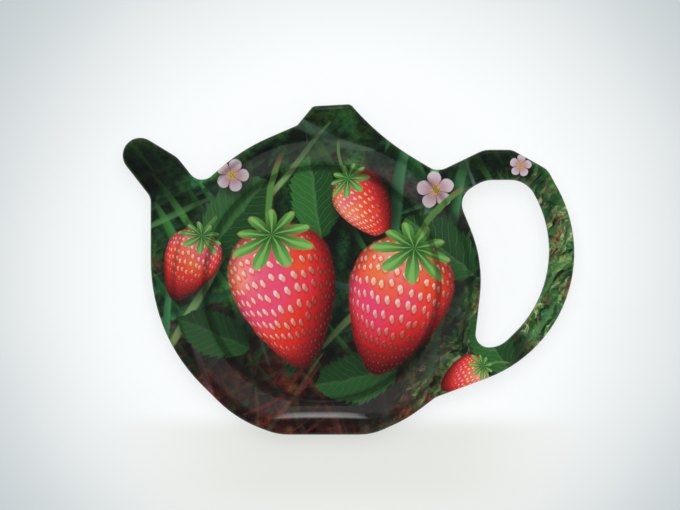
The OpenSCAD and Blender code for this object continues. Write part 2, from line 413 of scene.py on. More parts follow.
class WellCurve:
    """The well's wall in every direction: its lip, slope and bend, and the back of the wall."""

    least_fall = 0.05
    soft_share = 0.02
    least_run_share = 0.25

    def __init__(self, sizes: RestSizes, step: float) -> None:
        """Finds the wall in each direction round the well.

        Args:
            sizes: The rest's sizes.
            step: Degrees between two directions.
        """
        self.sizes = sizes
        angles = np.radians(np.arange(0.0, 360.0, step))
        self.out = np.stack([np.cos(angles), np.sin(angles)], axis=1)
        down = -np.sin(angles)
        rounded = sizes.well_across / 2
        straight = sizes.well_flat / np.maximum(down, self.least_fall)
        straight = np.where(down > self.least_fall, straight, 1.0)
        soften = sizes.well_across * self.soft_share
        near = np.maximum(soften - np.abs(straight - rounded), 0) / soften
        self.start = np.minimum(straight, rounded) - near * near * soften / 4
        room = self.start - sizes.lip - sizes.well_depth * self.least_run_share
        self.foot = np.minimum(sizes.floor_across / 2, room)
        run, rise = self.start - self.foot, sizes.well_depth - sizes.lip
        self.slope = np.arctan2(rise, run) + np.arcsin(sizes.lip / np.hypot(run, rise))
        steep = (self.slope - self.slope.min()) / np.ptp(self.slope)
        rounding = sizes.lip * np.sin(self.slope)
        self.ease = rounding + (sizes.lip_shade - rounding) * np.sqrt(steep)

    def _row(self, reach: Points, height: Points, lean: Points) -> Row:
        """Points and normals of one row of the wall.

        Args:
            reach: Distance from the well's centre in each direction.
            height: Height in each direction.
            lean: Angle of the profile below the horizontal, going inwards.

        Returns:
            The points and the upward normals.
        """
        plan = self.sizes.centre + self.out * reach[:, None]
        points = np.column_stack([plan, height])
        round_it = np.roll(points, -1, axis=0) - np.roll(points, 1, axis=0)
        inward = np.column_stack([-self.out * np.cos(lean)[:, None], -np.sin(lean)])
        normals = np.cross(round_it, inward)
        return points, normals / np.linalg.norm(normals, axis=1)[:, None]

    def _arc(self, middle: Points, height: float, radius: float, lean: Points) -> Row:
        """A row of an arc round a middle; a negative radius bends the other way."""
        return self._row(middle - radius * np.sin(lean), height + radius * np.cos(lean), lean)

    def _shaded(self, drawn: Points) -> Points:
        """The lean shown in the gloss; along the straight side it eases in from the lip."""
        return self.slope * np.minimum(drawn / self.ease, 1.0)

    def lip(self, share: float, inset: float) -> Row:
        """A row over the lip, from the flat rim at share 0 to the wall at 1.

        Args:
            share: How far over the lip the row is.
            inset: Depth below the glaze's surface.

        Returns:
            The points and the normals.
        """
        sizes, lean = self.sizes, self.slope * share
        radius = sizes.lip - inset
        height = sizes.top_level - sizes.lip + radius * np.cos(lean)
        drawn = radius * np.sin(lean)
        return self._row(self.start - drawn, height, self._shaded(drawn))

    def slant(self, share: float, inset: float) -> Row:
        """A row on the wall, from the lip at share 0 to the bend at 1.

        Args:
            share: How far down the wall the row is.
            inset: Depth below the glaze's surface.

        Returns:
            The points and the normals.
        """
        first, _ = self.lip(1.0, inset)
        last, _ = self.bend(0.0, inset)
        points = first + (last - first) * share
        reach = np.linalg.norm(points[:, :2] - self.sizes.centre, axis=1)
        return self._row(reach, points[:, 2], self._shaded(self.start - reach))

    def bend(self, share: float, inset: float) -> Row:
        """A row round the bend, from the wall at share 0 to the floor at 1.

        Args:
            share: How far round the bend the row is.
            inset: Depth below the glaze's surface.

        Returns:
            The points and the normals.
        """
        bend = self.sizes.bend
        middle = self.foot - bend * np.tan(self.slope / 2)
        lean = self.slope * (1 - share)
        return self._arc(middle, self.sizes.floor_level + bend, -bend - inset, lean)

    def _back(self, height: float) -> Points:
        """Distance of the wall's back from the well's centre at a height.

        Args:
            height: The height above the table.

        Returns:
            The distance in each direction.
        """
        sizes = self.sizes
        rise = height - sizes.floor_level + sizes.wall * np.cos(self.slope)
        return self.foot + sizes.wall * np.sin(self.slope) + rise / np.tan(self.slope)

    def neck(self, share: float) -> Row:
        """A row of the bend from the rim's underside to the wall's back.

        Args:
            share: How far round the bend the row is, from 0 to 1.

        Returns:
            The points and the normals.
        """
        neck, rim_level = self.sizes.neck, self.sizes.rim_level
        middle = self._back(rim_level) + neck * np.tan(self.slope / 2)
        return self._arc(middle, rim_level - neck, neck, self.slope * share)

    def heel(self, share: float) -> Row:
        """A row of the bend from the wall's back to the floor's underside.

        Args:
            share: How far round the bend the row is, from 0 to 1.

        Returns:
            The points and the normals.
        """
        heel, foot_height = self.sizes.heel, self.sizes.foot_height
        middle = self._back(foot_height) - heel * np.tan(self.slope / 2)
        return self._arc(middle, foot_height + heel, -heel, self.slope * (1 - share))

    def circle(self, radius: float, height: float, lean: float) -> Row:
        """A level row at one radius, with the profile's lean as in the other rows."""
        every = np.ones(len(self.out))
        return self._row(radius * every, height * every, lean * every)


@dataclass
class RestForm:
    """The curves that all layers of the rest share."""

    sizes: RestSizes = field(default_factory=RestSizes)
    gap: float = 0.00002
    ray_step: float = 3.0
    edge_chords: int = 6
    lip_chords: int = 7
    wall_chords: int = 5
    bend_chords: int = 5
    map_margin: float = 0.0045
    map_small: float = 0.3
    map_small_across: float = 0.25

    def __post_init__(self) -> None:
        """Draws the outline, the finger hole and the well."""
        self.pot = RoundedLoop(POT_CORNERS, self.sizes, self.gap)
        self.hole = RoundedLoop(HOLE_CORNERS, self.sizes, self.gap)
        self.well = WellCurve(self.sizes, self.ray_step)

    @property
    def large_map(self) -> MapPlan:
        """The map of the face itself, which fills the lower part of the square."""
        scale = 1 / (self.sizes.width + 2 * self.map_margin)
        return MapPlan(scale, (0.5, (self.sizes.length / 2 + self.map_margin) * scale))

    @property
    def small_map(self) -> MapPlan:
        """The map of what lies out of sight, in the strip above the face.

        Returns:
            The map, on the same texture.
        """
        large = self.large_map
        taken = (self.sizes.length + 2 * self.map_margin) * large.scale
        shift = (self.map_small_across, (1 + taken) / 2)
        return MapPlan(large.scale * self.map_small, shift)

    def lay_face(
        self, shell: ShellMesh, inset: float, facing: Facing, chart: MapPlan
    ) -> tuple[Ring, Ring]:
        """Adds the whole dished face, sunk by a depth.

        Args:
            shell: The mesh to add it to.
            inset: Depth below the glaze's surface.
            facing: BACK for the underside of a layer.
            chart: Where it goes on the texture map.

        Returns:
            The end rows on the rim's outer side and in the finger hole.
        """
        pot = self._edge_rows(shell, self.pot, 1, inset, chart)
        hole = self._edge_rows(shell, self.hole, -1, inset, chart)
        curve = self.well
        rows = [curve.lip(share, inset) for share in shares(self.lip_chords)]
        rows += [curve.slant(share, inset) for share in shares(self.wall_chords)[1:-1]]
        rows += [curve.bend(share, inset) for share in shares(self.bend_chords)]
        well = [shell.ring(p, n, chart.spots(p)) for p, n in rows]
        shell.fill([pot[0], hole[0], well[0]], facing)
        for steps in (pot[::-1], hole, well):
            shell.stairs(steps, facing)
        shell.fill([well[-1]], facing)
        return pot[-1], hole[-1]

    def _edge_rows(
        self, shell: ShellMesh, loop: RoundedLoop, side: int, inset: float, chart: MapPlan
    ) -> list[Ring]:
        """Adds the rows over the face's rounded edge and down to where the skin ends.

        Args:
            shell: The mesh to add them to.
            loop: The outline or the finger hole.
            side: 1 for the outline, -1 for the hole.
            inset: Depth below the glaze's surface.
            chart: Where they go on the texture map.

        Returns:
            The rows, from the flat rim down.
        """
        sizes, rows = self.sizes, []
        radius = sizes.edge - inset
        for j in range(self.edge_chords + 2):
            lean = math.pi / 2 * min(j, self.edge_chords) / self.edge_chords
            drawn = sizes.edge - radius * math.sin(lean)
            height = sizes.top_level - sizes.edge + radius * math.cos(lean)
            unrolled = sizes.edge * lean
            if j > self.edge_chords:
                height = sizes.wrap_level
                unrolled += sizes.wrap - sizes.edge
            points = level(loop.drawn_in(side * drawn), height)
            normals = level(side * loop.normals * math.sin(lean), math.cos(lean))
            spots = chart.spots(loop.drawn_in(side * (sizes.edge - unrolled)))
            rows.append(shell.ring(points, normals, spots))
        return rows


# Nodes


class Wire:
    """A node's output. A sum with it adds the node that works the sum out."""

    def __init__(self, board: "Board", socket: bpy.types.NodeSocket) -> None:
        """Takes the output and the board that its node is on."""
        self.board = board
        self.socket = socket

    def __add__(self, other: "Feed") -> "Wire":
        """The sum."""
        return self.board.calc("ADD", self, other)

    def __sub__(self, other: "Feed") -> "Wire":
        """The difference."""
        return self.board.calc("SUBTRACT", self, other)

    def __rsub__(self, other: "Feed") -> "Wire":
        """What it leaves of a plain value."""
        return self.board.calc("SUBTRACT", other, self)

    def __mul__(self, other: "Feed") -> "Wire":
        """The product."""
        return self.board.calc("MULTIPLY", self, other)

    def __truediv__(self, other: "Feed") -> "Wire":
        """The quotient."""
        return self.board.calc("DIVIDE", self, other)

    def __rtruediv__(self, other: "Feed") -> "Wire":
        """A plain value over it."""
        return self.board.calc("DIVIDE", other, self)

    def __pow__(self, other: "Feed") -> "Wire":
        """The power."""
        return self.board.calc("POWER", self, other)

    def __abs__(self) -> "Wire":
        """The value without its sign."""
        return self.board.calc("ABSOLUTE", self)

    def span(
        self, low: "Feed", high: "Feed", start: "Feed" = 0.0, end: "Feed" = 1.0
    ) -> "Wire":
        """Eases from start to end as the value goes from low to high."""
        feeds = dict(enumerate((self, low, high, start, end)))
        return self.board.add("MapRange", feeds, interpolation_type="SMOOTHSTEP")[0]


class Wires:
    """A node's outputs, by name or by place."""

    def __init__(self, board: "Board", sockets: bpy.types.NodeOutputs) -> None:
        """Takes the outputs and the board that their node is on."""
        self.board = board
        self.sockets = sockets

    def __getitem__(self, key: str | int) -> Wire:
        """One of them."""
        return Wire(self.board, self.sockets[key])


Feed = Wire | float | tuple[float, ...]


def is_vector(value: Feed) -> bool:
    """Whether a value is a vector, plain or wired."""
    return value.socket.type == "VECTOR" if isinstance(value, Wire) else isinstance(value, tuple)


class Board:
    """Short calls that add nodes to one tree and wire them."""

    def __init__(self, tree: bpy.types.NodeTree) -> None:
        """Takes the tree to work on."""
        self.tree = tree

    def feed(self, socket: bpy.types.NodeSocket, value: Feed) -> None:
        """Wires a socket, or sets it where the value is plain.

        Args:
            socket: The input.
            value: What goes into it.
        """
        if isinstance(value, Wire):
            self.tree.links.new(value.socket, socket)
        else:
            socket.default_value = (*value, 1.0) if socket.type == "RGBA" else value

    def add(self, kind: str, feeds: dict[str | int, Feed], **options: object) -> Wires:
        """Adds a shader node.

        Args:
            kind: Its type's name.
            feeds: What goes into its inputs, by their names or places.
            **options: Its other settings.

        Returns:
            Its outputs.
        """
        node = self.tree.nodes.new(f"ShaderNode{kind}")
        for name, value in options.items():
            setattr(node, name, value)
        for key, value in feeds.items():
            self.feed(node.inputs[key], value)
        return Wires(self, node.outputs)

    def calc(self, how: str, *values: Feed, clamp: bool = False) -> Wire:
        """Any operation of the Math node or, on a vector, of the Vector Math node.

        Args:
            how: The operation's name.
            *values: The numbers or vectors, in order.
            clamp: Whether the result of numbers is kept within 0 and 1.

        Returns:
            The result.
        """
        feeds = dict(enumerate(values))
        if not any(is_vector(value) for value in values):
            return self.add("Math", feeds, operation=how, use_clamp=clamp)[0]
        if how == "MULTIPLY" and not is_vector(values[1]):
            feeds = {0: values[0], "Scale": values[1]}
            return self.add("VectorMath", feeds, operation="SCALE")["Vector"]
        gives = "Value" if how in ("LENGTH", "DOT_PRODUCT") else "Vector"
        return self.add("VectorMath", feeds, operation=how)[gives]

    def most(self, *values: Feed) -> Wire:
        """The largest of some numbers."""
        return reduce(lambda first, second: self.calc("MAXIMUM", first, second), values)

    def joined(self, x: Feed, y: Feed, z: Feed = 0.0) -> Wire:
        """A vector of three numbers."""
        return self.add("CombineXYZ", {0: x, 1: y, 2: z})[0]

    def length(self, x: Feed, y: Feed) -> Wire:
        """The length of a way in plan."""
        return self.calc("LENGTH", self.joined(x, y))

    def plan(self, vector: Wire) -> tuple[Wire, Wire]:
        """A vector's X and Y."""
        return self.calc("DOT_PRODUCT", vector, EAST), self.calc("DOT_PRODUCT", vector, NORTH)

    def parts(self, vector: Wire) -> Wires:
        """A vector's X, Y and Z."""
        return self.add("SeparateXYZ", {0: vector})

    def turned(self, vector: Wire, turn: Feed) -> Wire:
        """A vector turned about Z by an angle in radians."""
        feeds = {"Vector": vector, "Angle": turn}
        return self.add("VectorRotate", feeds, rotation_type="Z_AXIS")[0]

    def choose(self, other: Feed, first: Feed, second: Feed) -> Wire:
        """One of two vectors: the second where other is 1."""
        return self.add("Mix", {0: other, 4: first, 5: second}, data_type="VECTOR")[1]

    def blend(self, share: Feed, under: Feed, over: Feed, how: str = "MIX") -> Wire:
        """Mixes two colours."""
        feeds = {0: share, 6: under, 7: over}
        return self.add("Mix", feeds, data_type="RGBA", blend_type=how)[2]

    def lit(self, colour: Feed, share: Feed) -> Wire:
        """A colour made lighter or darker."""
        grey = self.add("CombineColor", {0: share, 1: share, 2: share})[0]
        return self.blend(1.0, colour, grey, "MULTIPLY")

    def ramp(self, value: Wire, stops: Sequence[tuple[float, Colour]]) -> Wire:
        """A colour that changes through stops as a value goes from 0 to 1.

        Args:
            value: The value.
            stops: The places from 0 to 1 and their colours, in order.

        Returns:
            The colour.
        """
        made = self.add("ValToRGB", {0: value})[0]
        knots = made.socket.node.color_ramp.elements
        for knot, (place, colour) in zip(knots, (stops[0], stops[-1])):
            knot.position, knot.color = place, (*colour, 1.0)
        for place, colour in stops[1:-1]:
            knots.new(place).color = (*colour, 1.0)
        return made

    def noise(self, at: Wire, scale: Feed, detail: Feed = 2.0, rough: float = 0.5) -> Wires:
        """Cloudy noise; its outputs are a number and a colour."""
        feeds = {"Vector": at, "Scale": scale, "Detail": detail, "Roughness": rough}
        return self.add("TexNoise", feeds, noise_dimensions="3D")

    def cells(self, at: Wire, scale: Feed, spread: float = 1.0) -> Wires:
        """Flat cells; their outputs are the distance, a colour for each, and its place."""
        feeds = {"Vector": at, "Scale": scale, "Randomness": spread}
        return self.add("TexVoronoi", feeds, voronoi_dimensions="2D")

    def bump(self, height: Wire, strength: float, reach: float) -> Wire:
        """The normal over a height that goes from 0 to 1 within a reach."""
        return self.add("Bump", {"Height": height, "Strength": strength, "Distance": reach})[0]

    def drift(self, at: Wire, scale: float, reach: Feed, detail: float = 1.0) -> Wire:
        """A soft random vector, as long as reach at most in each way."""
        cloud = self.place(SoftDrift(), Place=at, Scale=scale, Detail=detail)["Vector"]
        return (cloud - (0.5, 0.5, 0.5)) * reach

    def chance(self, at: Wire) -> Wires:
        """Three random numbers for every different vector."""
        return self.parts(self.place(Chance(), Place=at)["Vector"])

    def place(self, effect: "Effect", **values: Feed) -> Wires:
        """Places an effect's group, with a value or a wire for each named input."""
        return self.add("Group", values, node_tree=effect.tree())


class Effect:
    """A shader node group with named inputs and outputs, built once."""

    name = "effect"
    takes: dict[str, float | tuple[float, ...]] = {"Place": ORIGIN}
    gives: dict[str, str] = {}

    def wire(self, board: Board, given: Wires) -> dict[str, Wire]:
        """Makes the nodes inside.

        Args:
            board: The group's own board.
            given: The group's inputs.

        Returns:
            The wire for each output.
        """
        return {}

    def tree(self) -> bpy.types.NodeTree:
        """The group, which is made on the first call.

        Returns:
            The group.
        """
        known = bpy.data.node_groups.get(self.name)
        if known:
            return known
        tree = bpy.data.node_groups.new(self.name, "ShaderNodeTree")
        for name, value in self.takes.items():
            kind = "NodeSocketVector" if isinstance(value, tuple) else "NodeSocketFloat"
            socket = tree.interface.new_socket(name=name, in_out="INPUT", socket_type=kind)
            socket.default_value = value
        for name, kind in self.gives.items():
            tree.interface.new_socket(
                name=name, in_out="OUTPUT", socket_type=f"NodeSocket{kind}"
            )
        board = Board(tree)
        given = Wires(board, tree.nodes.new("NodeGroupInput").outputs)
        wanted = tree.nodes.new("NodeGroupOutput").inputs
        for name, wire in self.wire(board, given).items():
            board.feed(wanted[name], wire)
        return tree


class SoftDrift(Effect):
    """Three soft random numbers. The renderer needs their change to a vector in its own group."""

    name = "soft_drift"
    takes = {"Place": ORIGIN, "Scale": 1.0, "Detail": 1.0}
    gives = {"Vector": "Vector"}

    def wire(self, board: Board, given: Wires) -> dict[str, Wire]:
        """Takes the colour of a noise."""
        return {"Vector": board.noise(given["Place"], given["Scale"], given["Detail"])[1]}


class Chance(Effect):
    """Three even random numbers for every different place."""

    name = "chance"
    gives = {"Vector": "Vector"}

    def wire(self, board: Board, given: Wires) -> dict[str, Wire]:
        """Takes the colour of a white noise."""
        feeds = {"Vector": given["Place"]}
        return {"Vector": board.add("TexWhiteNoise", feeds, noise_dimensions="3D")["Color"]}


# The print


class GrassBlades(Effect):
    """One layer of long blades that lie roughly one way."""

    name = "grass_blades"
    takes = {
        "Place": ORIGIN,
        "Turn": 0.0,
        "Pitch": 5.0,
        "Reach": 40.0,
        "Amount": 0.5,
        "Blur": 0.3,
        "Sway": 6.0,
        "Seed": 0.0,
    }
    gives = {"Mask": "Float", "Tone": "Float", "Across": "Float"}

    def wire(self, board: Board, given: Wires) -> dict[str, Wire]:
        """Cuts the place into columns, and each column into blades of random width.

        Args:
            board: The group's own board.
            given: The group's inputs.

        Returns:
            The wire for each output.
        """
        place, seed, blur = given["Place"], given["Seed"], given["Blur"]
        sway = board.drift(place + board.joined(seed, seed, seed), 0.022, given["Sway"])
        x, y = board.plan(board.turned(place + sway, given["Turn"]))
        across = x / given["Pitch"]
        column = board.calc("FLOOR", across)
        line = board.chance(board.joined(column, seed, 0.5))
        along = line[0] * 7.3 + y / given["Reach"]
        within = board.calc("FRACT", along)
        blade = board.chance(board.joined(column, board.calc("FLOOR", along), seed))
        lean = (line[1] - 0.5) * 0.9 * (within - 0.5)
        off = board.calc("FRACT", across) - (lean + (blade[0] - 0.5) * 0.35 + 0.5)
        taper = board.calc("SQRT", within * (1.0 - within) * 4.0)
        half = (blade[1] * 0.20 + 0.07) * taper
        mask = abs(off).span(half * (1.0 - blur), half * (blur + 1.0), 1.0, 0.0)
        mask = mask * board.calc("LESS_THAN", blade[2], given["Amount"])
        mask = mask * taper.span(0.0, 0.4)
        return {"Mask": mask, "Tone": line[2], "Across": off / board.most(half, 0.01)}


class Motif(Effect):
    """A kind of motif in the print, drawn round its own middle at a size of 1."""

    takes = {
        "Place": ORIGIN,
        "Centre": ORIGIN,
        "Turn": 0.0,
        "Size": 10.0,
        "Extra": 0.5,
        "Shake": ORIGIN,
    }
    gives = {"Color": "Color", "Mask": "Float"}

    def wire(self, board: Board, given: Wires) -> dict[str, Wire]:
        """Brings the place to the motif's own and draws the motif there.

        Args:
            board: The group's own board.
            given: The group's inputs.

        Returns:
            The wire for each output.
        """
        away = board.turned(given["Place"] - given["Centre"], given["Turn"])
        at = away * (1.0 / given["Size"])
        x, y = board.plan(at + given["Shake"])
        colour, mask = self.draw(board, given, at, x, y)
        return {"Color": colour, "Mask": mask}

    def draw(
        self, board: Board, given: Wires, at: Wire, x: Wire, y: Wire
    ) -> tuple[Wire, Wire]:
        """Draws the motif.

        Args:
            board: The group's board.
            given: The group's inputs.
            at: Place from the motif's middle, in its size.
            x: Place across, shaken.
            y: Place along, shaken.

        Returns:
            The motif's colour and where it is.
        """
        raise NotImplementedError


class Strawberry(Motif):
    """A ripe strawberry with its seeds, leafy cap and stalk. Its extra is its pink blush."""

    name = "strawberry"
    light = (-0.42, 0.56, 0.71)
    skin = (
        (0.30, (0.045, 0.001, 0.003)),
        (0.52, (0.32, 0.004, 0.006)),
        (0.70, (0.72, 0.016, 0.010)),
        (0.85, (0.84, 0.060, 0.014)),
        (0.95, (0.88, 0.150, 0.060)),
        (1.00, (0.90, 0.330, 0.260)),
    )
    seed_scale = 4.4
    seed_spread = 0.32

    def draw(
        self, board: Board, given: Wires, at: Wire, x: Wire, y: Wire
    ) -> tuple[Wire, Wire]:
        """Shades an egg shape as a ball, then adds pits, seeds, cap and stalk.

        Args:
            board: The group's board.
            given: The group's inputs.
            at: Place from the motif's middle, in its size.
            x: Place across, shaken.
            y: Place along, shaken.

        Returns:
            The motif's colour and where it is.
        """
        side = x / board.most(y * 0.27 + 0.80, 0.2)
        rise = (y + 0.12) / 1.12
        reach = board.length(side, rise)
        bulge = board.calc("SQRT", board.most(1.0 - reach * reach, 0.0))
        ball = board.turned(board.joined(side, rise, bulge), given["Turn"])
        crowd = reach**3.0 * 0.55 + 1.0
        laid = board.joined(side * 1.15, rise) * crowd
        seeds = board.cells(laid, self.seed_scale, self.seed_spread)[0]
        glints = board.cells(laid + (0.035, -0.035, 0.0), self.seed_scale, self.seed_spread)[0]
        lit = board.calc("DOT_PRODUCT", ball, self.light) - seeds.span(0.46, 0.20) * 0.16
        colour = board.ramp(lit * 0.5 + 0.5, self.skin)
        blush = board.noise(at + given["Centre"], 0.9, 1.0)[0].span(0.46, 0.66)
        blush = blush * given["Extra"] * lit.span(0.1, 0.8)
        colour = board.blend(blush, colour, (0.80, 0.045, 0.20))
        warm = board.noise(at - given["Centre"], 1.1, 1.0)[0].span(0.52, 0.72)
        colour = board.blend(warm * lit.span(0.2, 0.8) * 0.75, colour, (0.86, 0.20, 0.015))
        shine = glints.span(0.24, 0.16) * lit.span(0.05, 0.75)
        colour = board.blend(shine, colour, (0.83, 0.62, 0.62))
        grain = board.blend(lit.span(-0.1, 0.9), (0.20, 0.045, 0.02), (0.78, 0.52, 0.30))
        colour = board.blend(seeds.span(0.21, 0.15), colour, grain)
        colour = board.blend(reach.span(0.80, 1.0, 0.0, 0.55), colour, (0.10, 0.002, 0.004))
        leaves, leafy = self._cap(board, x, y)
        colour = board.blend(leafy, colour, leaves)
        rest = y - 0.86
        stem = abs(x - rest * rest * 0.35).span(0.065, 0.035)
        stem = stem * y.span(0.82, 0.90) * y.span(2.05, 1.75)
        colour = board.blend(stem * (1.0 - leafy), colour, (0.07, 0.24, 0.045))
        return colour, board.most(reach.span(1.01, 0.97), leafy, stem)

    @staticmethod
    def _cap(board: Board, x: Wire, y: Wire) -> tuple[Wire, Wire]:
        """The colour of the star of small leaves on top, and where it is.

        Args:
            board: The group's board.
            x: Place across, shaken.
            y: Place along, shaken.

        Returns:
            The leaves' colour and where they are.
        """
        tall = (y - 0.84) * 1.35
        reach = board.length(x, tall)
        star = abs(board.calc("COSINE", board.calc("ARCTAN2", tall, x) * 4.5))
        tip = star**0.8 * tall.span(0.2, -0.4, 0.36, 0.56) + 0.17
        green = board.blend(reach.span(0.05, 0.6), (0.025, 0.13, 0.018), (0.10, 0.36, 0.05))
        green = board.blend(star.span(0.90, 0.99) * 0.6, green, (0.30, 0.52, 0.16))
        green = board.blend(star.span(0.0, 0.35, 0.65, 0.0), green, (0.008, 0.05, 0.008))
        return green, (reach - tip).span(0.03, -0.02)


class Blossom(Motif):
    """A five-petalled white and pink flower with a yellow middle."""

    name = "blossom"

    def draw(
        self, board: Board, given: Wires, at: Wire, x: Wire, y: Wire
    ) -> tuple[Wire, Wire]:
        """Draws petals by the angle round the middle.

        Args:
            board: The group's board.
            given: The group's inputs; not used.
            at: Place from the motif's middle, in its size; not used.
            x: Place across, shaken.
            y: Place along, shaken.

        Returns:
            The motif's colour and where it is.
        """
        reach, angle = board.length(x, y), board.calc("ARCTAN2", y, x)
        wave = abs(board.calc("COSINE", angle * 2.5))
        rim = wave**0.45 * 0.52 + 0.44
        streaks = board.noise(board.joined(angle * 7.0, reach * 1.5), 1.6, 2.0)[0]
        petal = board.blend(reach.span(0.25, 0.95), (0.46, 0.22, 0.28), (0.60, 0.52, 0.55))
        petal = board.blend(streaks.span(0.45, 0.75, 0.0, 0.55), petal, (0.60, 0.46, 0.52))
        petal = board.blend(wave.span(0.0, 0.30, 0.75, 0.0), petal, (0.16, 0.10, 0.12))
        dots = board.cells(board.joined(x, y), 11.0, 0.8)[0]
        ring = reach.span(0.40, 0.30) * dots.span(0.38, 0.24)
        colour = board.blend(ring, petal, (0.62, 0.42, 0.05))
        eye = board.blend(dots.span(0.15, 0.5), (0.72, 0.56, 0.10), (0.34, 0.22, 0.02))
        colour = board.blend(reach.span(0.22, 0.17), colour, eye)
        return colour, (reach - rim).span(0.03, -0.03)


class StrawberryLeaf(Motif):
    """A toothed leaf with its veins. Its extra is how light it is."""

    name = "strawberry_leaf"

    def draw(
        self, board: Board, given: Wires, at: Wire, x: Wire, y: Wire
    ) -> tuple[Wire, Wire]:
        """Draws an oval with teeth, lit on one half, and veins that run forward.

        Args:
            board: The group's board.
            given: The group's inputs.
            at: Place from the motif's middle, in its size; not used.
            x: Place across, shaken.
            y: Place along, shaken.

        Returns:
            The motif's colour and where it is.
        """
        side = abs(x)
        tooth = board.calc("FRACT", side * -2.0 + y * 5.5)
        room = board.most(1.0 - y * y, 0.0) ** 0.7 * (tooth * 0.09 + 0.55)
        beat = abs(board.calc("FRACT", side * -4.6 + y * 5.0) - 0.5)
        veins = board.most(beat.span(0.10, 0.0), side.span(0.05, 0.012))
        green = board.blend(x.span(-0.05, 0.05), (0.045, 0.24, 0.04), (0.014, 0.095, 0.016))
        green = board.blend(beat.span(0.1, 0.5, 0.45, 0.0), green, (0.008, 0.06, 0.012))
        green = board.blend(veins * 0.40, green, (0.13, 0.34, 0.10))
        dim = given["Extra"].span(1.0, 0.0, 0.0, 0.8)
        green = board.blend(dim, green, (0.010, 0.030, 0.012))
        return green, (side - room).span(0.02, -0.02)


@dataclass(frozen=True)
class Blades:
    """One layer of blades in the print: how it lies, its two colours and where it shows."""

    turn: float
    pitch: float
    reach: float
    amount: float
    blur: float
    sway: float
    dark: Colour
    light: Colour
    strength: float = 1.0
    in_gloom: float = 0.15
    litter: bool = False


@dataclass(frozen=True)
class Spot:
    """Where one motif of the print lies, how it is turned and how large it is."""

    x: float
    y: float
    turn: float
    size: float
    extra: float = 0.5


@dataclass(frozen=True)
class Motifs:
    """One kind of motif in the print, and its places, which keep clear of each other."""

    kind: Motif
    slim: float
    shake: float
    spots: tuple[Spot, ...]


class Sheet:
    """The print while it is drawn: its board, the place on it and its colour so far."""

    def __init__(self, board: Board, given: Wires) -> None:
        """Flattens the place. There is no colour yet.

        Args:
            board: The group's own board.
            given: The group's inputs.
        """
        self.board = board
        self.x, self.y = board.plan(given["Place"])
        self.place = board.joined(self.x, self.y)
        self.colour: Feed = ORIGIN

    def noise(self, scale: float, detail: float = 2.0, rough: float = 0.5) -> Wire:
        """A cloudy number all over the sheet."""
        return self.board.noise(self.place, scale, detail, rough)[0]

    def lay(self, share: Feed, colour: Feed, how: str = "MIX") -> None:
        """Lays a colour over what is there."""
        self.colour = self.board.blend(share, self.colour, colour, how)


